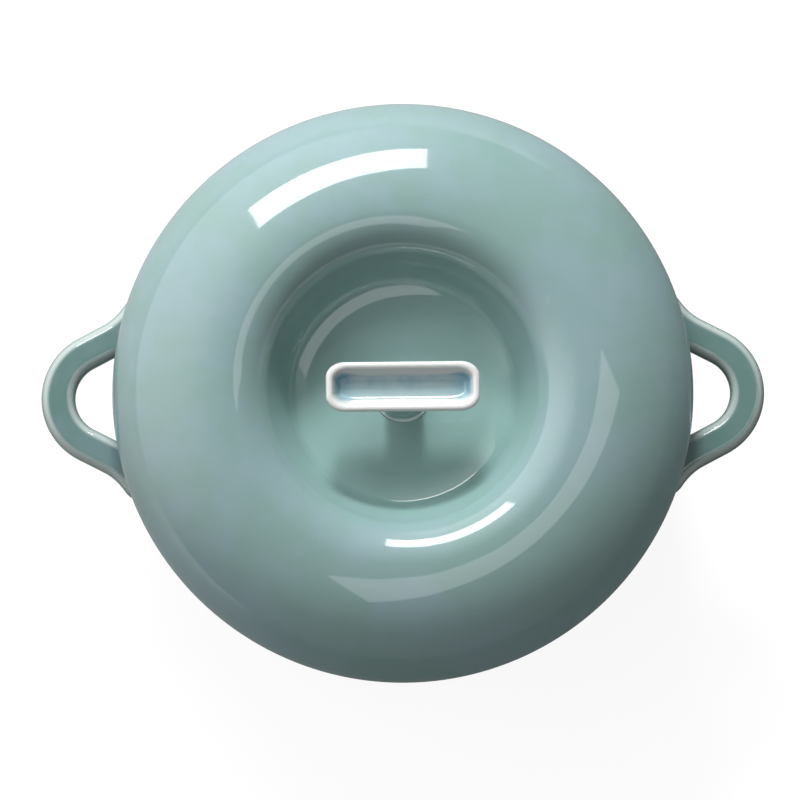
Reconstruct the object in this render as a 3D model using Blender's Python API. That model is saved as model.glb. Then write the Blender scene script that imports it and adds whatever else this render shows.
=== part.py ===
"""Round stoneware dutch oven: a bellied pot on a foot ring, two loop handles, and a hollow ring lid
whose sunken middle carries a T-shaped knob. Metres, +Z up, the table at z = 0."""

import math

import bmesh
import bpy

# Joints between the pieces.
SLIP_JOINT = 0.0003
LID_REST = 0.0003
FLANGE_PLAY = 0.0015

# Pot body.
POT_RADIUS = 0.117
POT_HEIGHT = 0.098
POT_WALL = 0.007
POT_FLOOR = 0.008
BASE_RADIUS = 0.080
BELLY_HEIGHT = 0.062
RIM_ROUNDING = 0.002

# Foot ring.
FOOT_HEIGHT = 0.005
FOOT_WIDTH = 0.009
FOOT_INSET = 0.003
FOOT_ROUNDING = 0.0015

# Loop handles.
HANDLE_REACH = 0.0335
HANDLE_SPAN = 0.057
HANDLE_WIDTH = 0.0142
HANDLE_THICKNESS = 0.011
HANDLE_ROUNDING = 0.0052
HANDLE_DROP = 0.016
LOOP_RADIUS = 0.0214
ROOT_FLARE = 0.0042
ROOT_FLARE_LENGTH = 0.0135
ROOT_FLARE_INSIDE = 0.0045

# Lid shell.
LID_OVERHANG = 0.003
LID_WALL = 0.0065
LID_EDGE = 0.003
RING_HEIGHT = 0.036
RING_FULLNESS = 1.3
CREST_RADIUS = 0.073
CROWN_RADIUS = 0.019
WELL_DEPTH = 0.0372
WELL_SLOPE = math.radians(70)
FLOOR_BEND = 0.005
FLOOR_SWEEP = 0.033
FLOOR_TURN = math.radians(17)

# Locating flange under the lid.
FLANGE_WIDTH = 0.005
FLANGE_DEPTH = 0.007
FLANGE_LAP = 0.65
FLANGE_ROUNDING = 0.0015

# Knob stem.
STEM_RADIUS = 0.0078
STEM_HEIGHT = 0.0205
STEM_BASE_FLARE = 0.0040

# Knob dish.
KNOB_LENGTH = 0.063
KNOB_WIDTH = 0.0204
KNOB_HEIGHT = 0.0105
KNOB_CORNER_LENGTH = 0.0078
KNOB_CORNER_WIDTH = 0.0064
KNOB_SIDE_DRAFT = 0.0005
KNOB_BOTTOM_ROUNDING = 0.0015
DISH_RIM = 0.003
DISH_DEPTH = 0.006
DISH_DRAFT = 0.0020
DISH_BEND = 0.0020

# Fineness of the meshes.
TURN_STEPS = 48
STEM_STEPS = 24
BEND_STEPS = 3
SWEEP_STEPS = 10
ARM_STEPS = 8
LOOP_HALF_STEPS = 6
SHARP_EDGE = math.radians(40)
AXIS_MERGE = 0.00001

# Heights of the pot, from the table.
POT_INNER_RADIUS = POT_RADIUS - POT_WALL
BELLY_LEVEL = FOOT_HEIGHT + BELLY_HEIGHT
HANDLE_LEVEL = POT_HEIGHT - HANDLE_DROP

# Heights of the lid, from its seat on the pot's rim.
LID_RADIUS = POT_RADIUS + LID_OVERHANG
WELL_FLOOR = RING_HEIGHT - WELL_DEPTH
FLANGE_RADIUS = POT_INNER_RADIUS - FLANGE_PLAY
BEAD_RADIUS = FLANGE_RADIUS + SLIP_JOINT
STEM_FOOT = WELL_FLOOR + SLIP_JOINT
STEM_TOP = STEM_FOOT + STEM_HEIGHT
KNOB_FOOT = STEM_TOP + SLIP_JOINT
KNOB_TOP = KNOB_FOOT + KNOB_HEIGHT

RIGHT = 0.0
UP = math.pi / 2
LEFT = math.pi
DOWN = -math.pi / 2


def clear_scene():
    for obj in list(bpy.data.objects):
        bpy.data.objects.remove(obj)


def surface(name, colour, roughness):
    material = bpy.data.materials.new(name)
    material.use_nodes = True
    shader = material.node_tree.nodes["Principled BSDF"]
    shader.inputs["Base Color"].default_value = (*colour, 1.0)
    shader.inputs["Roughness"].default_value = roughness
    shader.inputs["Metallic"].default_value = 0.0
    return material


def pot_glaze():
    return surface("pot_glaze", (0.20, 0.35, 0.33), 0.08)


def foot_stoneware():
    return surface("foot_stoneware", (0.62, 0.57, 0.49), 0.75)


def handle_glaze():
    return surface("handle_glaze", (0.19, 0.33, 0.31), 0.10)


def lid_glaze():
    return surface("lid_glaze", (0.21, 0.36, 0.345), 0.05)


def flange_stoneware():
    return surface("flange_stoneware", (0.66, 0.61, 0.53), 0.75)


def stem_glaze():
    return surface("stem_glaze", (0.20, 0.34, 0.325), 0.08)


def knob_glaze():
    return surface("knob_glaze", (0.52, 0.62, 0.63), 0.06)


def on_circle(centre, radius, angle):
    return (centre[0] + radius * math.cos(angle), centre[1] + radius * math.sin(angle))


def ellipse(centre, across, up, start, end, steps):
    """Points along part of an ellipse, both ends included."""
    points = []
    for step in range(steps + 1):
        angle = start + (end - start) * step / steps
        points.append((centre[0] + across * math.cos(angle), centre[1] + up * math.sin(angle)))
    return points


def arc(centre, radius, start, end, steps=BEND_STEPS):
    return ellipse(centre, radius, radius, start, end, steps)


def add_object(name, mesh, parent):
    obj = bpy.data.objects.new(name, mesh)
    bpy.context.scene.collection.objects.link(obj)
    obj.parent = parent
    return obj


def add_group(name, height):
    """The point that one loose half of the object hangs from, on the pot's axis."""
    empty = bpy.data.objects.new(name, None)
    bpy.context.scene.collection.objects.link(empty)
    empty.location = (0.0, 0.0, height)
    return empty


def turned(name, profile, parent, steps=TURN_STEPS, is_ring=False):
    """A piece thrown on the wheel: its profile runs outward over the top, then down the outer side."""
    points = [(radius, 0.0, height) for radius, height in profile]
    edges = [(index, index + 1) for index in range(len(points) - 1)]
    if is_ring:
        edges.append((len(points) - 1, 0))
    mesh = bpy.data.meshes.new(name)
    mesh.from_pydata(points, edges, [])
    obj = add_object(name, mesh, parent)
    screw = obj.modifiers.new("turn", "SCREW")
    screw.axis = "Z"
    screw.angle = math.tau
    screw.steps = steps
    screw.render_steps = steps
    screw.use_merge_vertices = True
    screw.merge_threshold = AXIS_MERGE
    screw.use_smooth_shade = True
    return obj


def lofted(name, loops, parent):
    """A skin over loops of equally many points, capped at both ends."""
    shape = bmesh.new()
    rings = [[shape.verts.new(point) for point in loop] for loop in loops]
    for first, second in zip(rings, rings[1:]):
        for index in range(len(first)):
            shape.faces.new((first[index - 1], first[index], second[index], second[index - 1]))
    shape.faces.new(rings[0])
    shape.faces.new(rings[-1])
    bmesh.ops.recalc_face_normals(shape, faces=shape.faces)
    mesh = bpy.data.meshes.new(name)
    shape.to_mesh(mesh)
    shape.free()
    mesh.shade_smooth()
    mesh.set_sharp_from_angle(angle=SHARP_EDGE)
    return add_object(name, mesh, parent)


def rounded_rectangle(half_long, half_wide, corner_long, corner_wide):
    """Points round a rectangle with rounded corners, from the right-hand side anticlockwise."""
    points = []
    for quarter, (side_x, side_y) in enumerate(((1, 1), (-1, 1), (-1, -1), (1, -1))):
        centre = (side_x * (half_long - corner_long), side_y * (half_wide - corner_wide))
        start = quarter * UP
        points += ellipse(centre, corner_long, corner_wide, start, start + UP, BEND_STEPS)
    return points


def pot_outside(grown):
    """Outer wall from the straight part down to the edge of the flat base, grown outward."""
    across = POT_RADIUS - BASE_RADIUS + grown
    return ellipse((BASE_RADIUS, BELLY_LEVEL), across, BELLY_HEIGHT, RIGHT, DOWN, SWEEP_STEPS)


def pot_inside():
    """Inner wall from the edge of the flat floor up to the straight part."""
    across = POT_INNER_RADIUS - BASE_RADIUS
    up = BELLY_HEIGHT - POT_FLOOR
    return ellipse((BASE_RADIUS, BELLY_LEVEL), across, up, DOWN, RIGHT, SWEEP_STEPS)


def pot_body(parent):
    rounding_level = POT_HEIGHT - RIM_ROUNDING
    profile = [(0.0, FOOT_HEIGHT + POT_FLOOR)]
    profile += pot_inside()
    profile += arc((POT_INNER_RADIUS + RIM_ROUNDING, rounding_level), RIM_ROUNDING, LEFT, UP)
    profile += arc((POT_RADIUS - RIM_ROUNDING, rounding_level), RIM_ROUNDING, UP, RIGHT)
    profile += pot_outside(0.0)
    profile.append((0.0, FOOT_HEIGHT))
    body = turned("pot_body", profile, parent)
    body.data.materials.append(pot_glaze())


def foot_ring(parent):
    outer = BASE_RADIUS - FOOT_INSET
    inner = outer - FOOT_WIDTH
    top = FOOT_HEIGHT - SLIP_JOINT
    profile = [(inner, top), (outer, top)]
    profile += arc((outer - FOOT_ROUNDING, FOOT_ROUNDING), FOOT_ROUNDING, RIGHT, DOWN)
    profile += arc((inner + FOOT_ROUNDING, FOOT_ROUNDING), FOOT_ROUNDING, DOWN, -LEFT)
    foot = turned("foot_ring", profile, parent, is_ring=True)
    foot.data.materials.append(foot_stoneware())


def handle_path():
    """Half the centre line of a handle in plan, from inside the pot's wall to the outermost point.
    Each station is its place, its outward normal and its distance from the wall."""
    bend_x = POT_RADIUS + HANDLE_REACH - HANDLE_WIDTH / 2 - LOOP_RADIUS
    root_y = HANDLE_SPAN / 2
    root_x = math.sqrt(POT_RADIUS**2 - root_y**2)
    away = math.hypot(root_x - bend_x, root_y)
    turn = math.atan2(root_y, root_x - bend_x) - math.acos(LOOP_RADIUS / away)
    touch_x, touch_y = on_circle((bend_x, 0.0), LOOP_RADIUS, turn)
    arm = math.hypot(touch_x - root_x, touch_y - root_y)
    arm_normal = (math.cos(turn), math.sin(turn))
    stations = []
    for step in range(ARM_STEPS + 1):
        along = (arm + HANDLE_WIDTH) * step / ARM_STEPS - HANDLE_WIDTH
        share = along / arm
        place = (root_x + (touch_x - root_x) * share, root_y + (touch_y - root_y) * share)
        stations.append((place, arm_normal, along))
    for step in range(1, LOOP_HALF_STEPS + 1):
        angle = turn * (1 - step / LOOP_HALF_STEPS)
        place = on_circle((bend_x, 0.0), LOOP_RADIUS, angle)
        stations.append((place, (math.cos(angle), math.sin(angle)), arm))
    return stations


def handle_section(station, side_x, side_y):
    """Rounded section of a handle at one station; its outer edge spreads where it meets the pot."""
    (x, y), (normal_x, normal_y), along = station
    nearness = min(1.0, max(0.0, 1 - (along + ROOT_FLARE_INSIDE) / ROOT_FLARE_LENGTH))
    spread = ROOT_FLARE * nearness**2
    half_wide = (HANDLE_WIDTH + spread) / 2
    outline = rounded_rectangle(half_wide, HANDLE_THICKNESS / 2, HANDLE_ROUNDING, HANDLE_ROUNDING)
    loop = []
    for across, up in outline:
        out = across + spread / 2
        place = (side_x * (x + out * normal_x), side_y * (y + out * normal_y), HANDLE_LEVEL + up)
        loop.append(place)
    return loop


def pot_cutter(parent):
    """The pot's outside as a plain solid, one slip joint wider, that shapes the handle roots."""
    profile = [(0.0, POT_HEIGHT), (POT_RADIUS + SLIP_JOINT, POT_HEIGHT)]
    profile += pot_outside(SLIP_JOINT)
    profile.append((0.0, FOOT_HEIGHT))
    cutter = turned("pot_cutter", profile, parent)
    cutter.hide_render = True
    cutter.display_type = "WIRE"
    return cutter


def handle(name, side_x, cutter, parent):
    half = handle_path()
    loops = [handle_section(station, side_x, 1) for station in half]
    loops += [handle_section(station, side_x, -1) for station in reversed(half[:-1])]
    grip = lofted(name, loops, parent)
    grip.data.materials.append(handle_glaze())
    fit = grip.modifiers.new("fit_to_pot", "BOOLEAN")
    fit.operation = "DIFFERENCE"
    fit.solver = "EXACT"
    fit.object = cutter


def well(inward):
    """Lid surface from the crest down to the well floor, moved into the clay by a given depth:
    a round crown, a straight wall, a tight bend and a gentle sweep."""
    crown = CROWN_RADIUS - inward
    bend = FLOOR_BEND + inward
    sweep = FLOOR_SWEEP + inward
    wall_turn = UP + WELL_SLOPE
    floor_turn = UP + FLOOR_TURN
    crown_centre = (CREST_RADIUS, RING_HEIGHT - CROWN_RADIUS)
    wall_top = on_circle(crown_centre, crown, wall_turn)
    sweep_rise = sweep * (1 - math.cos(FLOOR_TURN))
    bend_rise = bend * (math.cos(FLOOR_TURN) - math.cos(WELL_SLOPE))
    foot_level = WELL_FLOOR - inward + sweep_rise + bend_rise
    wall_foot = (wall_top[0] - (wall_top[1] - foot_level) / math.tan(WELL_SLOPE), foot_level)
    bend_centre = on_circle(wall_foot, bend, wall_turn)
    sweep_centre = on_circle(bend_centre, sweep - bend, floor_turn)
    points = arc(crown_centre, crown, UP, wall_turn, 2 * BEND_STEPS)
    points += arc(bend_centre, bend, wall_turn - math.pi, floor_turn - math.pi)
    points += arc(sweep_centre, sweep, floor_turn - math.pi, DOWN)[1:]
    return points


def ring_dome(inward, start):
    """Outer slope of the lid ring from near its edge up to the crest. It is leaner than an ellipse,
    which a fullness of 1 would give; 2 would give a parabola."""
    across = LID_RADIUS - CREST_RADIUS - inward
    up = RING_HEIGHT - LID_EDGE - inward
    points = []
    for step in range(SWEEP_STEPS + 1):
        angle = start + (UP - start) * step / SWEEP_STEPS
        level = LID_EDGE + up * math.sin(angle) ** RING_FULLNESS
        points.append((CREST_RADIUS + across * math.cos(angle), level))
    return points


def ring_underside():
    """Hollow of the lid ring, from the top of the thick edge bead up to the crest."""
    start = math.acos((BEAD_RADIUS - CREST_RADIUS) / (LID_RADIUS - CREST_RADIUS - LID_WALL))
    return ring_dome(LID_WALL, start)


def lid_shell(parent):
    profile = [(0.0, WELL_FLOOR)]
    profile += well(0.0)[::-1]
    profile += ring_dome(0.0, RIGHT)[-2::-1]
    profile += arc((LID_RADIUS - LID_EDGE, LID_EDGE), LID_EDGE, RIGHT, DOWN)[1:]
    profile.append((BEAD_RADIUS, 0.0))
    profile += ring_underside()
    profile += well(LID_WALL)[1:]
    profile.append((0.0, WELL_FLOOR - LID_WALL))
    shell = turned("lid_shell", profile, parent)
    shell.data.materials.append(lid_glaze())


def lid_flange(parent):
    bead_top = ring_underside()[0][1]
    top = FLANGE_LAP * bead_top
    inner = FLANGE_RADIUS - FLANGE_WIDTH
    rounding_level = FLANGE_ROUNDING - FLANGE_DEPTH
    profile = [(inner, top), (FLANGE_RADIUS, top)]
    profile += arc((FLANGE_RADIUS - FLANGE_ROUNDING, rounding_level), FLANGE_ROUNDING, RIGHT, DOWN)
    profile += arc((inner + FLANGE_ROUNDING, rounding_level), FLANGE_ROUNDING, DOWN, -LEFT)
    flange = turned("lid_flange", profile, parent, is_ring=True)
    flange.data.materials.append(flange_stoneware())


def knob_stem(parent):
    base_centre = (STEM_RADIUS + STEM_BASE_FLARE, STEM_FOOT + STEM_BASE_FLARE)
    profile = [(0.0, STEM_TOP), (STEM_RADIUS, STEM_TOP)]
    profile += arc(base_centre, STEM_BASE_FLARE, -LEFT, DOWN)
    profile.append((0.0, STEM_FOOT))
    stem = turned("knob_stem", profile, parent, steps=STEM_STEPS)
    stem.data.materials.append(stem_glaze())


def knob_profile():
    """Inset from the widest outline and height, from the underside over the rim to the dish floor."""
    rim = DISH_RIM / 2
    underside = (KNOB_SIDE_DRAFT + KNOB_BOTTOM_ROUNDING, KNOB_FOOT + KNOB_BOTTOM_ROUNDING)
    dish_floor = (DISH_RIM + DISH_DRAFT + DISH_BEND, KNOB_TOP - DISH_DEPTH + DISH_BEND)
    points = arc(underside, KNOB_BOTTOM_ROUNDING, DOWN, -LEFT)
    points += arc((rim, KNOB_TOP - rim), rim, LEFT, RIGHT, 2 * BEND_STEPS)
    points += arc(dish_floor, DISH_BEND, -LEFT, DOWN)
    return points


def knob_dish(parent):
    loops = []
    for inset, height in knob_profile():
        half_long = KNOB_LENGTH / 2 - inset
        half_wide = KNOB_WIDTH / 2 - inset
        share = 2 * half_wide / KNOB_WIDTH
        outline = rounded_rectangle(
            half_long, half_wide, share * KNOB_CORNER_LENGTH, share * KNOB_CORNER_WIDTH
        )
        loops.append([(x, y, height) for x, y in outline])
    dish = lofted("knob_dish", loops, parent)
    dish.data.materials.append(knob_glaze())


clear_scene()
pot = add_group("pot", 0.0)
pot_body(pot)
foot_ring(pot)
wall_cutter = pot_cutter(pot)
handle("handle_right", 1, wall_cutter, pot)
handle("handle_left", -1, wall_cutter, pot)
lid = add_group("lid", POT_HEIGHT + LID_REST)
lid_shell(lid)
lid_flange(lid)
knob_stem(lid)
knob_dish(lid)
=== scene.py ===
import math

import bpy
import numpy as np
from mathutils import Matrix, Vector


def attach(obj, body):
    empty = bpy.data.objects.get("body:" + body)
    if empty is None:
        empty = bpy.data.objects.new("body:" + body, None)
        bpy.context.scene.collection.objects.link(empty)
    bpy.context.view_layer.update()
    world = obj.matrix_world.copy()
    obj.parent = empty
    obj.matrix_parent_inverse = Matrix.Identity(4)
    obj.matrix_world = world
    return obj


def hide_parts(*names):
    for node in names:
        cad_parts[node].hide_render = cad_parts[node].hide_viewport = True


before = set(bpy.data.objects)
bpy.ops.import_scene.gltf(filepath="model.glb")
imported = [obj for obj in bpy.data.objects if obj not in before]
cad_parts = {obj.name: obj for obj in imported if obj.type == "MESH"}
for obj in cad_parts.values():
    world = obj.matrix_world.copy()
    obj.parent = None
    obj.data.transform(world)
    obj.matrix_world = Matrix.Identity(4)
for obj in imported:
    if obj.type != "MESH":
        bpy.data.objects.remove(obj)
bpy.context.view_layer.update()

# Pot body: a bellied bowl thrown on the wheel from stoneware, with a flat floor and a rounded rim.
# It is dipped in celadon glaze inside and out, and the other pieces are luted to it or rest on it.
POT_RADIUS = 0.117
POT_INNER_RADIUS = 0.110
POT_HEIGHT = 0.098
POT_UNDERSIDE = 0.005
POT_FLOOR = 0.013
POT_BASE_RADIUS = 0.080
POT_BELLY_LEVEL = 0.067
POT_RIM_ROUNDING = 0.002
# The first glaze pair is a paler copy of the second, painted light; it fades into the second
# between the two radii below.
PAINTED_LIGHT_GLAZE = ((0.194, 0.316, 0.298), (0.208, 0.324, 0.316))
OUTER_GLAZE = ((0.146, 0.231, 0.219), (0.162, 0.239, 0.251))
POOLED_GLAZE = (0.085, 0.195, 0.185)
BROKEN_GLAZE_AND_SHEEN = (0.44, 0.48, 0.46)
PAINTED_LIGHT_TO = 0.047
OUTER_GLAZE_FROM = 0.068
GLAZE_PATCH = 0.055
GLAZE_STREAK = 0.012
GLAZE_WAVE = 0.030
GLAZE_BUBBLE = 0.0006
GLAZE_IOR = 1.6
GLAZE_SMOOTHEST = 0.03
GLAZE_BREAKS_AT = 0.30


def bend(centre, across, up, start, end, steps):
    """Points round part of an ellipse, between two angles in degrees."""
    points = []
    for step in range(steps + 1):
        angle = math.radians(start + (end - start) * step / steps)
        points.append((centre[0] + across * math.cos(angle), centre[1] + up * math.sin(angle)))
    return points


def throw(name, profile, steps):
    """A thrown piece: its profile is drawn point by point beside the axis, then spun round it."""
    bpy.ops.object.select_all(action="DESELECT")
    bpy.ops.mesh.primitive_plane_add(size=0.001)
    piece = bpy.context.object
    piece.name = name
    bpy.ops.object.mode_set(mode="EDIT")
    bpy.ops.mesh.merge(type="CENTER")
    places = [Vector((radius, 0, height)) for radius, height in profile]
    bpy.ops.transform.translate(value=places[0])
    for here, there in zip(places, places[1:]):
        bpy.ops.mesh.extrude_vertices_move(TRANSFORM_OT_translate={"value": there - here})
    bpy.ops.mesh.select_all(action="SELECT")
    bpy.ops.mesh.spin(steps=steps, angle=math.tau, center=(0, 0, 0), axis=(0, 0, 1))
    close_up()
    return piece


def close_up():
    """Closes seams and poles, turns faces outwards, leaves edit mode and smooths the shading."""
    bpy.ops.mesh.select_all(action="SELECT")
    bpy.ops.mesh.remove_doubles(threshold=0.000002)
    bpy.ops.mesh.normals_make_consistent(inside=False)
    bpy.ops.object.mode_set(mode="OBJECT")
    bpy.ops.object.shade_smooth()


def feel_edges(piece, rounds):
    """Stores how sharply the clay turns at each point, per millimetre: above zero on an edge,
    below zero in a hollow. The glaze creeps, so the value is evened out over the neighbours."""
    mesh = piece.data
    points = np.empty(3 * len(mesh.vertices))
    mesh.vertices.foreach_get("co", points)
    points = points.reshape(-1, 3) * 1000
    normals = np.empty(points.size)
    mesh.vertices.foreach_get("normal", normals)
    normals = normals.reshape(-1, 3)
    ends = np.empty(2 * len(mesh.edges), dtype=np.int64)
    mesh.edges.foreach_get("vertices", ends)
    ends = ends.reshape(-1, 2)
    here = np.concatenate([ends[:, 0], ends[:, 1]])
    there = np.concatenate([ends[:, 1], ends[:, 0]])
    apart = points[here] - points[there]
    length = np.maximum((apart**2).sum(axis=1), 1e-6)
    turn = 2 * (apart * normals[here]).sum(axis=1) / length
    count = np.maximum(np.bincount(here, minlength=len(points)), 1)
    turn = np.bincount(here, weights=turn, minlength=len(points)) / count
    for _ in range(rounds):
        turn = (turn + np.bincount(here, weights=turn[there], minlength=len(points)) / count) / 2
    mesh.attributes.new("edge", "FLOAT", "POINT").data.foreach_set("value", turn)


class Mix:
    """A socket of a material. Arithmetic on it adds Math nodes; node() adds any other node."""

    def __init__(self, tree, socket=None):
        self.tree = tree
        self.socket = socket

    def node(self, kind, settings, sockets, output=0):
        made = self.tree.nodes.new(kind)
        for name, value in settings.items():
            setattr(made, name, value)
        for name, value in sockets.items():
            if isinstance(value, Mix):
                self.tree.links.new(value.socket, made.inputs[name])
            else:
                made.inputs[name].default_value = value
        return Mix(self.tree, made.outputs[output])

    def math(self, operation, first, second):
        return self.node("ShaderNodeMath", {"operation": operation}, {0: first, 1: second})

    def __add__(self, other):
        return self.math("ADD", self, other)

    def __sub__(self, other):
        return self.math("SUBTRACT", self, other)

    def __rsub__(self, other):
        return self.math("SUBTRACT", other, self)

    def __mul__(self, other):
        return self.math("MULTIPLY", self, other)

    __radd__ = __add__
    __rmul__ = __mul__

    def between(self, low, high):
        """0 below low, 1 above high, with a soft rise."""
        sockets = {"Value": self, "From Min": low, "From Max": high}
        return self.node("ShaderNodeMapRange", {"interpolation_type": "SMOOTHSTEP"}, sockets)

    def blend(self, first, second):
        """The first colour where this is 0, the second where it is 1."""
        tones = [tone if isinstance(tone, Mix) else (*tone, 1) for tone in (first, second)]
        sockets = {0: self, 6: tones[0], 7: tones[1]}
        return self.node("ShaderNodeMix", {"data_type": "RGBA"}, sockets, 2)


def new_material(name):
    """A fresh material: its start for expressions, and its shader."""
    material = bpy.data.materials.new(name)
    material.use_nodes = True
    shader = material.node_tree.nodes["Principled BSDF"]
    return material, Mix(material.node_tree), shader


def cloud(start, place, size, detail):
    """Soft noise with patches of about the given size in metres."""
    sockets = {"Vector": place, "Scale": 1 / size, "Detail": detail}
    return start.node("ShaderNodeTexNoise", {}, sockets)


def feed(shader, name, value):
    """Joins a value that changes over the surface to a socket of the shader."""
    value.tree.links.new(value.socket, shader.inputs[name])


def celadon(name, shift, inner, outer, break_and_sheen_at):
    """Glossy celadon, mottled between a green and a blue, one pair near the axis and one further
    out; the pair near the axis is a paler copy of the other, painted light. It is darker where it
    pools in a hollow, and breaks to pale clay on an edge, fully where the edge turns by the last
    value; on the handles that pale band is partly painted sheen. The shift keeps two pieces from
    matching."""
    material, start, shader = new_material(name)
    place = start.node("ShaderNodeTexCoord", {}, {}, "Object")
    flat = start.node("ShaderNodeMapping", {}, {"Vector": place, "Scale": (1, 1, 0)})
    away = start.node("ShaderNodeVectorMath", {"operation": "LENGTH"}, {0: flat}, "Value")
    place = start.node("ShaderNodeMapping", {}, {"Vector": place, "Location": shift})
    edge = start.node("ShaderNodeAttribute", {"attribute_name": "edge"}, {}, "Fac")
    patches = cloud(start, place, GLAZE_PATCH, 2)
    streaks = cloud(start, place, GLAZE_STREAK, 3)
    bubbles = cloud(start, place, GLAZE_BUBBLE, 2)
    mottle = (patches + 0.6 * streaks).between(0.64, 0.96)
    # painted light: the paler copy of the glaze near the axis, fading out between the two radii
    outer_share = (away + 0.006 * streaks).between(PAINTED_LIGHT_TO, OUTER_GLAZE_FROM)
    tone = outer_share.blend(mottle.blend(*inner), mottle.blend(*outer))
    tone = (0.6 * edge.between(-0.02, -0.30)).blend(tone, POOLED_GLAZE)
    # pale where the glaze breaks on an edge; on the handles this band is partly painted sheen
    broken_and_sheen = (edge + 0.02 * streaks).between(0.1 * break_and_sheen_at, break_and_sheen_at)
    tone = (0.75 * broken_and_sheen).blend(tone, BROKEN_GLAZE_AND_SHEEN)
    tone = (0.06 * bubbles.between(0.60, 0.75)).blend(tone, BROKEN_GLAZE_AND_SHEEN)
    feed(shader, "Base Color", tone)
    feed(shader, "Roughness", GLAZE_SMOOTHEST + 0.04 * streaks)
    shader.inputs["IOR"].default_value = GLAZE_IOR
    wave = cloud(start, place, GLAZE_WAVE, 1) + 0.01 * bubbles
    sockets = {"Height": wave, "Strength": 0.06, "Distance": 0.002}
    feed(shader, "Normal", start.node("ShaderNodeBump", {}, sockets))
    return material


belly = (POT_BASE_RADIUS, POT_BELLY_LEVEL)
inner_bulge = POT_INNER_RADIUS - POT_BASE_RADIUS
outer_bulge = POT_RADIUS - POT_BASE_RADIUS
rim_level = POT_HEIGHT - POT_RIM_ROUNDING
inner_rim = (POT_INNER_RADIUS + POT_RIM_ROUNDING, rim_level)
outer_rim = (POT_RADIUS - POT_RIM_ROUNDING, rim_level)
pot_profile = [(0, POT_FLOOR)]
pot_profile += bend(belly, inner_bulge, POT_BELLY_LEVEL - POT_FLOOR, -90, 0, steps=40)
pot_profile += bend(inner_rim, POT_RIM_ROUNDING, POT_RIM_ROUNDING, 180, 90, steps=8)
pot_profile += bend(outer_rim, POT_RIM_ROUNDING, POT_RIM_ROUNDING, 90, 0, steps=8)
pot_profile += bend(belly, outer_bulge, POT_BELLY_LEVEL - POT_UNDERSIDE, 0, -90, steps=40)
pot_profile.append((0, POT_UNDERSIDE))
pot = throw("thrown_pot", pot_profile, steps=160)
feel_edges(pot, rounds=3)
# near the axis the pot's glaze is the paler copy, painted light
pot_glaze = celadon("pot_celadon", (0.3, 0.1, 0.2), PAINTED_LIGHT_GLAZE, OUTER_GLAZE, GLAZE_BREAKS_AT)
pot.data.materials.append(pot_glaze)
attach(pot, "pot")
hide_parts("pot_body")

# Foot ring: a low ring of the same clay luted under the pot, wiped clean of glaze before firing
# so that it doesn't stick to the kiln shelf. The pot stands on its flat lower face.
FOOT_OUTER = 0.077
FOOT_INNER = 0.068
FOOT_TOP = 0.0054
FOOT_ROUNDING = 0.0015
BARE_CLAY = (0.62, 0.57, 0.49)
TOASTED_CLAY = (0.50, 0.41, 0.31)
CLAY_SPECK = (0.16, 0.11, 0.08)
GRAIN_SIZE = 0.0008
TOAST_SIZE = 0.020
SPECK_SIZE = 0.0016


def bare_stoneware(name):
    """Unglazed fired clay: warm grey, toasted in places, with sandy grain and dark specks."""
    material, start, shader = new_material(name)
    place = start.node("ShaderNodeTexCoord", {}, {}, "Object")
    grain = cloud(start, place, GRAIN_SIZE, 4)
    toast = cloud(start, place, TOAST_SIZE, 3)
    specks = cloud(start, place, SPECK_SIZE, 0)
    tone = (0.6 * toast.between(0.45, 0.75)).blend(BARE_CLAY, TOASTED_CLAY)
    tone = (0.25 * grain).blend(tone, TOASTED_CLAY)
    tone = (0.7 * specks.between(0.70, 0.78)).blend(tone, CLAY_SPECK)
    feed(shader, "Base Color", tone)
    feed(shader, "Roughness", 0.65 + 0.2 * grain)
    sockets = {"Height": grain, "Strength": 0.4, "Distance": 0.0004}
    feed(shader, "Normal", start.node("ShaderNodeBump", {}, sockets))
    return material


def clay_ring(name, inner, outer, bottom, top, rounding):
    """A plain ring whose two lower edges are rounded with a wet sponge."""
    level = bottom + rounding
    profile = [(inner, top), (outer, top)]
    profile += bend((outer - rounding, level), rounding, rounding, 0, -90, steps=8)
    profile += bend((inner + rounding, level), rounding, rounding, -90, -180, steps=8)
    profile.append((inner, top))
    return throw(name, profile, steps=160)


foot = clay_ring("foot", FOOT_INNER, FOOT_OUTER, 0, FOOT_TOP, FOOT_ROUNDING)
foot.data.materials.append(bare_stoneware("foot_clay"))
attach(foot, "pot")
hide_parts("foot_ring")

# Loop handles: two pulled straps of clay, flat on top with soft edges, bent into a loop and luted
# to the wall under the rim. Pale bands run along their shoulders: thin glaze and painted sheen.
HANDLE_REACH = 0.0335
HANDLE_SPAN = 0.057
HANDLE_WIDTH = 0.0142
HANDLE_THICKNESS = 0.011
HANDLE_ROUNDING = 0.0052
HANDLE_LEVEL = 0.082
HANDLE_LOOP = 0.0214
HANDLE_FLARE = 0.0042
HANDLE_FLARE_LENGTH = 0.0135
HANDLE_FLARE_INSIDE = 0.0045
HANDLE_SINK = 0.0006
SHOULDER_GAIN = 2.6
HANDLE_GLAZE = ((0.083, 0.153, 0.142), (0.108, 0.170, 0.176))
# how far the strap's shoulder turns before its pale band of thin glaze and painted sheen is full
HANDLE_BREAK_AND_SHEEN_AT = 1.4


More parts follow.
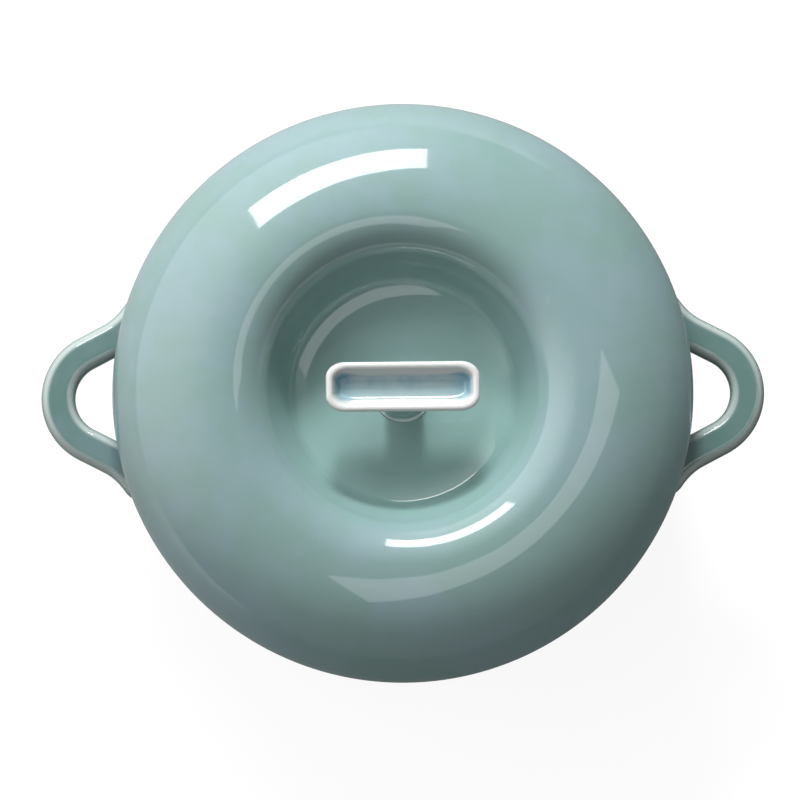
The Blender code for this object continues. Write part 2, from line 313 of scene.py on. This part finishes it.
def handle_stations(arm_steps, loop_steps):
    """Centre, turn in plan and width of the strap along one half, from the wall outwards."""
    loop_x = POT_RADIUS + HANDLE_REACH - HANDLE_WIDTH / 2 - HANDLE_LOOP
    side = HANDLE_SPAN / 2
    root = Vector((math.sqrt(POT_RADIUS**2 - side**2), side, HANDLE_LEVEL))
    away = Vector((root.x - loop_x, root.y))
    turn = math.atan2(away.y, away.x) - math.acos(HANDLE_LOOP / away.length)
    across = Vector((math.cos(turn), math.sin(turn), 0))
    middle = Vector((loop_x, 0, HANDLE_LEVEL))
    arm = middle + HANDLE_LOOP * across - root
    stations = []
    for step in range(arm_steps + 1):
        along = (arm.length + HANDLE_WIDTH) * step / arm_steps - HANDLE_WIDTH
        near = min(1, max(0, 1 - (along + HANDLE_FLARE_INSIDE) / HANDLE_FLARE_LENGTH))
        flare = HANDLE_FLARE * near**2
        centre = root + arm * (along / arm.length) + across * (flare / 2)
        stations.append((centre, turn, HANDLE_WIDTH + flare))
    for step in range(1, loop_steps + 1):
        angle = turn * (1 - step / loop_steps)
        out = Vector((math.cos(angle), math.sin(angle), 0))
        stations.append((middle + HANDLE_LOOP * out, angle, HANDLE_WIDTH))
    return stations


def pull_handle(name):
    """The strap's rounded section is set at one root, then extruded, turned and narrowed along the
    loop to the other root, and both roots are trimmed to the pot's wall."""
    stations = handle_stations(arm_steps=16, loop_steps=20)
    for centre, turn, width in stations[-2::-1]:
        stations.append((Vector((centre.x, -centre.y, centre.z)), -turn, width))
    centre, turn, width = stations[0]
    bpy.ops.object.select_all(action="DESELECT")
    bpy.ops.mesh.primitive_plane_add(size=1, location=centre, rotation=(math.pi / 2, 0, turn))
    piece = bpy.context.object
    piece.name = name
    piece.scale = (width, HANDLE_THICKNESS, 1)
    bpy.ops.object.transform_apply(location=True, rotation=True, scale=True)
    bpy.ops.object.mode_set(mode="EDIT")
    bpy.ops.mesh.bevel(offset=HANDLE_ROUNDING, segments=14, affect="VERTICES")
    bpy.ops.object.mode_set(mode="OBJECT")
    for vertex in piece.data.vertices:
        vertex.select = abs(vertex.co.z - HANDLE_LEVEL) > HANDLE_THICKNESS / 2 - 0.00001
    bpy.ops.object.mode_set(mode="EDIT")
    bpy.ops.mesh.subdivide(number_cuts=5)
    bpy.ops.mesh.select_all(action="SELECT")
    for (here, old_turn, old_width), (there, new_turn, new_width) in zip(stations, stations[1:]):
        bpy.ops.mesh.extrude_region_move(TRANSFORM_OT_translate={"value": there - here})
        bpy.ops.transform.rotate(value=old_turn - new_turn, orient_axis="Z", center_override=there)
        grow = new_width / old_width
        bpy.ops.transform.resize(value=(grow, grow, 1), center_override=there)
    close_up()
    bpy.ops.object.select_all(action="DESELECT")
    bpy.ops.mesh.primitive_cylinder_add(
        vertices=256,
        radius=POT_RADIUS - HANDLE_SINK,
        depth=HANDLE_THICKNESS * 3,
        location=(0, 0, HANDLE_LEVEL),
    )
    wall = bpy.context.object
    trim = piece.modifiers.new("trim", "BOOLEAN")
    trim.object = wall
    trim.solver = "EXACT"
    bpy.context.view_layer.objects.active = piece
    bpy.ops.object.modifier_apply(modifier="trim")
    bpy.data.objects.remove(wall)
    bpy.ops.object.shade_smooth()
    return piece


def feel_strap(piece):
    """Stores how near each point is to the strap's shoulders, where the glaze runs thin and a
    painted sheen lies: 1 where the flat top or bottom begins to turn down, 0 in the middle of it
    and on the side."""
    shoulder = []
    for vertex in piece.data.vertices:
        below = HANDLE_THICKNESS / 2 - abs(vertex.co.z - HANDLE_LEVEL)
        flat = min(1, max(0, 1 - below / HANDLE_ROUNDING))
        shoulder.append(math.sqrt(1 - flat**2) * flat**2 * SHOULDER_GAIN)
    piece.data.attributes.new("edge", "FLOAT", "POINT").data.foreach_set("value", shoulder)


right_handle = pull_handle("pulled_handle_right")
feel_strap(right_handle)
handle_glaze = celadon(
    "handle_celadon", (0, 0, 0), HANDLE_GLAZE, HANDLE_GLAZE, HANDLE_BREAK_AND_SHEEN_AT
)
right_handle.data.materials.append(handle_glaze)
left_handle = right_handle.copy()
left_handle.data = right_handle.data.copy()
left_handle.name = "pulled_handle_left"
bpy.context.scene.collection.objects.link(left_handle)
bpy.ops.object.select_all(action="DESELECT")
left_handle.select_set(True)
bpy.context.view_layer.objects.active = left_handle
left_handle.rotation_euler.z = math.pi
bpy.ops.object.transform_apply(rotation=True)
for piece, node in ((right_handle, "handle_right"), (left_handle, "handle_left")):
    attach(piece, "pot")
    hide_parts(node)

# Lid shell: a hollow ring thrown in one piece with a deep sunken well in the middle, where the
# knob stands below the ring's crest. Celadon glaze covers it; its paler tone in the well is
# painted light.
LID_SEAT = 0.0983
LID_RADIUS = 0.120
LID_EDGE = 0.003
LID_WALL = 0.0065
LID_CREST_RADIUS = 0.073
LID_CREST = 0.1343
LID_FULLNESS = 1.3
LID_CROWN = 0.019
WELL_FLOOR = 0.0971
WELL_FLAT = 0.017
WELL_SLOPE = 70
WELL_BEND = 0.005
WELL_SWEEP = 0.033
WELL_TURN = 17
BEAD_RADIUS = 0.1088


def on_circle(centre, radius, degrees):
    angle = math.radians(degrees)
    return (centre[0] + radius * math.cos(angle), centre[1] + radius * math.sin(angle))


def well_profile(inward):
    """Lid surface from the crest down to the well floor, moved into the clay by a given depth:
    a round crown, a straight wall, a tight bend and a gentle sweep."""
    crown = LID_CROWN - inward
    corner = WELL_BEND + inward
    sweep = WELL_SWEEP + inward
    wall_turn = 90 + WELL_SLOPE
    floor_turn = 90 + WELL_TURN
    crown_centre = (LID_CREST_RADIUS, LID_CREST - LID_CROWN)
    wall_top = on_circle(crown_centre, crown, wall_turn)
    gentle = math.cos(math.radians(WELL_TURN))
    steep = math.cos(math.radians(WELL_SLOPE))
    foot_level = WELL_FLOOR - inward + sweep * (1 - gentle) + corner * (gentle - steep)
    drop = wall_top[1] - foot_level
    wall_foot = (wall_top[0] - drop / math.tan(math.radians(WELL_SLOPE)), foot_level)
    corner_centre = on_circle(wall_foot, corner, wall_turn)
    sweep_centre = on_circle(corner_centre, sweep - corner, floor_turn)
    points = bend(crown_centre, crown, crown, 90, wall_turn, steps=28)
    wall_middle = ((wall_top[0] + wall_foot[0]) / 2, (wall_top[1] + wall_foot[1]) / 2)
    points.append(wall_middle)
    points += bend(corner_centre, corner, corner, wall_turn - 180, floor_turn - 180, steps=16)
    points += bend(sweep_centre, sweep, sweep, floor_turn - 180, -90, steps=12)[1:]
    return points


def ring_profile(inward, start, steps=64):
    """Outer slope of the lid ring, from an angle near its edge up to the crest. It is leaner than
    an ellipse, which a fullness of 1 would give."""
    across = LID_RADIUS - LID_CREST_RADIUS - inward
    up = LID_CREST - LID_SEAT - LID_EDGE - inward
    points = []
    for step in range(steps + 1):
        angle = math.radians(start + (90 - start) * step / steps)
        level = LID_SEAT + LID_EDGE + up * math.sin(angle) ** LID_FULLNESS
        points.append((LID_CREST_RADIUS + across * math.cos(angle), level))
    return points


hollow_width = LID_RADIUS - LID_CREST_RADIUS - LID_WALL
bead_turn = math.degrees(math.acos((BEAD_RADIUS - LID_CREST_RADIUS) / hollow_width))
lid_edge = (LID_RADIUS - LID_EDGE, LID_SEAT + LID_EDGE)
lid_profile = [(0, WELL_FLOOR), (WELL_FLAT, WELL_FLOOR)]
lid_profile += well_profile(0)[::-1]
lid_profile += ring_profile(0, 0)[-2::-1]
lid_profile += bend(lid_edge, LID_EDGE, LID_EDGE, 0, -90, steps=10)[1:]
lid_profile.append((BEAD_RADIUS, LID_SEAT))
lid_profile += ring_profile(LID_WALL, bead_turn)
lid_profile += well_profile(LID_WALL)[1:]
lid_profile.append((0, WELL_FLOOR - LID_WALL))
lid = throw("thrown_lid", lid_profile, steps=192)
feel_edges(lid, rounds=2)
lid_glaze = celadon("lid_celadon", (0.05, 0.02, 0.0), PAINTED_LIGHT_GLAZE, OUTER_GLAZE, GLAZE_BREAKS_AT)
lid.data.materials.append(lid_glaze)
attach(lid, "lid")
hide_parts("lid_shell")

# Locating flange: a ring of bare clay luted under the lid, which drops inside the pot's rim and
# keeps the lid from sliding off. It stays unglazed so that lid and pot can be fired together.
FLANGE_OUTER = 0.1085
FLANGE_INNER = 0.1035
FLANGE_BOTTOM = 0.0913
FLANGE_TOP = 0.1067
FLANGE_ROUNDING = 0.0015

flange = clay_ring(
    "flange", FLANGE_INNER, FLANGE_OUTER, FLANGE_BOTTOM, FLANGE_TOP, FLANGE_ROUNDING
)
flange.data.materials.append(bare_stoneware("flange_clay"))
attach(flange, "lid")
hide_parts("lid_flange")

# Knob stem: a short turned post with a flared base, luted to the middle of the well floor.
# It is glazed with the lid, and the glaze gathers round its base.
STEM_RADIUS = 0.0078
STEM_FOOT = 0.0969
STEM_TOP = 0.1184
STEM_BASE_FLARE = 0.0040
STEM_BASE_RISE = 0.0050
STEM_LIP = 0.0008
STEM_BREAKS_AT = 0.60

stem_base = (STEM_RADIUS + STEM_BASE_FLARE, STEM_FOOT + STEM_LIP + STEM_BASE_RISE)
stem_lip = (stem_base[0], STEM_FOOT + STEM_LIP / 2)
stem_profile = [(0, STEM_TOP), (STEM_RADIUS, STEM_TOP)]
stem_profile += bend(stem_base, STEM_BASE_FLARE, STEM_BASE_RISE, 180, 262, steps=18)
stem_profile += bend(stem_lip, STEM_LIP / 2, STEM_LIP / 2, 80, 0, steps=6)
stem_profile.append((stem_base[0] + STEM_LIP / 2, STEM_FOOT))
stem_profile.append((0, STEM_FOOT))
stem = throw("turned_stem", stem_profile, steps=96)
feel_edges(stem, rounds=2)
# the stem takes only the paler copy of the glaze, painted light
stem_glaze = celadon("stem_celadon", (0.1, 0.3, 0.4), PAINTED_LIGHT_GLAZE, PAINTED_LIGHT_GLAZE, STEM_BREAKS_AT)
stem.data.materials.append(stem_glaze)
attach(stem, "lid")
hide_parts("knob_stem")

# Knob: a long shallow dish with a thick rounded rim, pressed in a mould and luted on the stem as
# the grip. The glaze runs off the rim, which stays white, and pools blue on the dish floor.
KNOB_LENGTH = 0.063
KNOB_WIDTH = 0.0204
KNOB_BOTTOM = 0.1182
KNOB_TOP = 0.1287
KNOB_CORNER_LENGTH = 0.0078
KNOB_CORNER_WIDTH = 0.0064
KNOB_DRAFT = 0.0005
KNOB_ROUNDING = 0.0015
DISH_RIM = 0.003
DISH_DEPTH = 0.006
DISH_DRAFT = 0.0020
DISH_BEND = 0.0020
KNOB_WHITE = (0.47, 0.48, 0.47)
KNOB_BLUE = (0.245, 0.335, 0.355)
KNOB_DEEP_BLUE_AND_SHADE = (0.120, 0.255, 0.320)
KNOB_RUN = 0.006

dish_floor = KNOB_TOP - DISH_DEPTH
knob_underside = (KNOB_DRAFT + KNOB_ROUNDING, KNOB_BOTTOM + KNOB_ROUNDING)
half_rim = DISH_RIM / 2
dish_corner = (DISH_RIM + DISH_DRAFT + DISH_BEND, dish_floor + DISH_BEND)
knob_sides = bend(knob_underside, KNOB_ROUNDING, KNOB_ROUNDING, -90, -180, steps=8)
knob_sides += bend((half_rim, KNOB_TOP - half_rim), half_rim, half_rim, 180, 0, steps=16)
knob_sides += bend(dish_corner, DISH_BEND, DISH_BEND, -180, -90, steps=10)
bpy.ops.object.select_all(action="DESELECT")
bpy.ops.mesh.primitive_plane_add(size=1, location=(0, 0, KNOB_BOTTOM))
knob = bpy.context.object
knob.name = "dished_knob"
corner_stretch = KNOB_CORNER_LENGTH / KNOB_CORNER_WIDTH
knob.scale = (KNOB_LENGTH / corner_stretch, KNOB_WIDTH, 1)
bpy.ops.object.transform_apply(location=True, rotation=True, scale=True)
bpy.ops.object.mode_set(mode="EDIT")
bpy.ops.mesh.bevel(offset=KNOB_CORNER_WIDTH, segments=14, affect="VERTICES")
bpy.ops.transform.resize(value=(corner_stretch, 1, 1), center_override=(0, 0, KNOB_BOTTOM))
length, width, level = KNOB_LENGTH, KNOB_WIDTH, KNOB_BOTTOM
for inset, height in knob_sides:
    new_length = KNOB_LENGTH - 2 * inset
    new_width = KNOB_WIDTH - 2 * inset
    if height != KNOB_BOTTOM or level != KNOB_BOTTOM:
        bpy.ops.mesh.extrude_region_move(TRANSFORM_OT_translate={"value": (0, 0, height - level)})
    grow = (new_length / length, new_width / width, 1)
    bpy.ops.transform.resize(value=grow, center_override=(0, 0, height))
    length, width, level = new_length, new_width, height
close_up()
sunk = []
for vertex in knob.data.vertices:
    outward = vertex.normal.x * vertex.co.x + vertex.normal.y * vertex.co.y
    is_inside = outward < 1e-6 and vertex.co.z > dish_floor - 1e-6
    sunk.append((KNOB_TOP - vertex.co.z) * 1000 if is_inside else 0)
knob.data.attributes.new("sunk", "FLOAT", "POINT").data.foreach_set("value", sunk)


def knob_glaze():
    """White clay where the glaze ran off the rim, and blue where it pooled on the dish floor,
    deepest at the two ends. The deeper blue along the back half is painted shade from the back
    rim. Depths below the rim are in millimetres."""
    material, start, shader = new_material("knob_glaze")
    place = start.node("ShaderNodeTexCoord", {}, {}, "Object")
    along = start.node("ShaderNodeSeparateXYZ", {}, {"Vector": place}, "X")
    across = start.node("ShaderNodeSeparateXYZ", {}, {"Vector": place}, "Y")
    # painted shade: the back half of the dish floor, which the back rim shades
    shaded_back = across.between(-0.004, 0.004)
    depth = start.node("ShaderNodeAttribute", {"attribute_name": "sunk"}, {}, "Fac")
    runs = cloud(start, place, KNOB_RUN, 3)
    from_middle = start.node("ShaderNodeMath", {"operation": "ABSOLUTE"}, {0: along})
    ends = from_middle.between(0.016, 0.027)
    pool = (depth - runs + 2.4 * ends).between(3.4, 5.4)
    tone = pool.blend(KNOB_WHITE, KNOB_BLUE)
    # deeper blue: pooled glaze at the ends, and painted shade along the back
    deep_pool_and_shade = pool * (0.35 * ends + shaded_back * (0.5 * ends + 0.6 * runs.between(0.40, 0.70)))
    tone = deep_pool_and_shade.blend(tone, KNOB_DEEP_BLUE_AND_SHADE)
    feed(shader, "Base Color", tone)
    feed(shader, "Roughness", 0.05 + 0.06 * runs)
    shader.inputs["IOR"].default_value = GLAZE_IOR
    sockets = {"Height": runs, "Strength": 0.08, "Distance": 0.001}
    feed(shader, "Normal", start.node("ShaderNodeBump", {}, sockets))
    return material


knob.data.materials.append(knob_glaze())
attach(knob, "lid")
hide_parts("knob_dish")

# Studio: a white table under the pot, a window-like key light with a bright middle behind it, a
# weak fill in front, a room that is brighter on the left, and a long lens looking almost straight
# down. The table looks white to the lens, and dims towards the right where the glaze mirrors it.
TABLE_SIZE = 12
TABLE_GREY = (0.55, 0.55, 0.55)
TABLE_ROUGHNESS = 0.9
TABLE_SHADE = (0.14, 0.14, 0.14)
TABLE_GLOW = 0.89
TABLE_DIM = 0.12
TABLE_LEFTWARD = (-0.8, 0.6, 0)
TABLE_DIM_TO = -0.20
TABLE_WHITE_FROM = 0.50
KEY_FACING = (0.530, -0.848, 0.0)
FILL_FACING = (-0.576, 0.676, -0.449)
ROOM_WHITE = (1, 1, 1, 1)
ROOM_DIM = 0.25
ROOM_BRIGHT = 1.95
BRIGHT_WALL = Vector((-0.780, 0.590, 0.210)).normalized()
BRIGHT_WALL_EDGE = 0.25
BRIGHT_WALL_MIDDLE = 0.95

bpy.ops.object.select_all(action="DESELECT")
bpy.ops.mesh.primitive_plane_add(size=TABLE_SIZE)
table = bpy.context.object
table.name = "table"
table_material, table_start, table_shader = new_material("table_white")
table_shader.inputs["Base Color"].default_value = (*TABLE_GREY, 1)
table_shader.inputs["Roughness"].default_value = TABLE_ROUGHNESS
shade = table_start.node("ShaderNodeBsdfDiffuse", {}, {"Color": (*TABLE_SHADE, 1)})
glow = table_start.node("ShaderNodeEmission", {}, {"Strength": TABLE_GLOW})
white = table_start.node("ShaderNodeAddShader", {}, {0: shade, 1: glow})
kinds = ("Is Camera Ray", "Is Glossy Ray", "Is Transmission Ray")
rays = [table_start.node("ShaderNodeLightPath", {}, {}, kind) for kind in kinds]
spot = table_start.node("ShaderNodeTexCoord", {}, {}, "Object")
dot = {"operation": "DOT_PRODUCT"}
sockets = {0: spot, 1: TABLE_LEFTWARD}
leftward = table_start.node("ShaderNodeVectorMath", dot, sockets, "Value")
dim = table_start.node("ShaderNodeEmission", {}, {"Strength": TABLE_DIM})
sockets = {0: leftward.between(TABLE_DIM_TO, TABLE_WHITE_FROM), 1: dim, 2: white}
mirrored = table_start.node("ShaderNodeMixShader", {}, sockets)
plain = Mix(table_material.node_tree, table_shader.outputs[0])
sockets = {0: rays[1] + rays[2], 1: plain, 2: mirrored}
surface = table_start.node("ShaderNodeMixShader", {}, sockets)
surface = table_start.node("ShaderNodeMixShader", {}, {0: rays[0], 1: surface, 2: white})
feed(table_material.node_tree.nodes["Material Output"], "Surface", surface)
table.data.materials.append(table_material)


def softbox(name, place, facing, width, height, radiance):
    """A rectangular soft light that faces a given way; its strength is how bright it looks."""
    light = bpy.data.lights.new(name, "AREA")
    light.shape = "RECTANGLE"
    light.size = width
    light.size_y = height
    light.energy = radiance * 4 * width * height
    lamp = bpy.data.objects.new(name, light)
    bpy.context.scene.collection.objects.link(lamp)
    lamp.location = place
    lamp.rotation_euler = Vector(facing).to_track_quat("-Z", "Y").to_euler()


softbox(
    "window_key", (-0.283, 1.238, 1.176), KEY_FACING, width=1.043, height=0.789, radiance=8.5
)
softbox("key_core", (-0.067, 1.361, 0.967), KEY_FACING, width=0.30, height=0.25, radiance=100)
softbox(
    "front_fill", (0.278, -0.253, 1.390), FILL_FACING, width=1.312, height=0.544, radiance=1.3
)

room = bpy.data.worlds.new("room")
bpy.context.scene.world = room
room.use_nodes = True
room_start = Mix(room.node_tree)
looking = room_start.node("ShaderNodeTexCoord", {}, {}, "Generated")
wallward = room_start.node("ShaderNodeVectorMath", dot, {0: looking, 1: BRIGHT_WALL}, "Value")
glowing = wallward.between(BRIGHT_WALL_EDGE, BRIGHT_WALL_MIDDLE)
dim_walls, bright_wall = (
    room_start.node("ShaderNodeBackground", {}, {"Color": ROOM_WHITE, "Strength": strength})
    for strength in (ROOM_DIM, ROOM_BRIGHT)
)
walls = room_start.node("ShaderNodeMixShader", {}, {0: glowing, 1: dim_walls, 2: bright_wall})
feed(room.node_tree.nodes["World Output"], "Surface", walls)

CAMERA_DISTANCE = 2.2
CAMERA_ELEVATION = math.radians(85)
CAMERA_AZIMUTH = math.radians(-90.6)
CAMERA_FIELD = 0.3303
CAMERA_AIM = Vector((-0.0012, -0.0033, 0.1013))

lens = bpy.data.cameras.new("long_lens")
lens.sensor_width = 36
lens.lens = lens.sensor_width * CAMERA_DISTANCE / CAMERA_FIELD
camera = bpy.data.objects.new("camera", lens)
bpy.context.scene.collection.objects.link(camera)
out = Vector((
    math.cos(CAMERA_ELEVATION) * math.cos(CAMERA_AZIMUTH),
    math.cos(CAMERA_ELEVATION) * math.sin(CAMERA_AZIMUTH),
    math.sin(CAMERA_ELEVATION),
))
camera.location = CAMERA_AIM + CAMERA_DISTANCE * out
camera.rotation_euler = (-out).to_track_quat("-Z", "Y").to_euler()
bpy.context.scene.camera = camera
bpy.context.scene.view_settings.view_transform = "Standard"
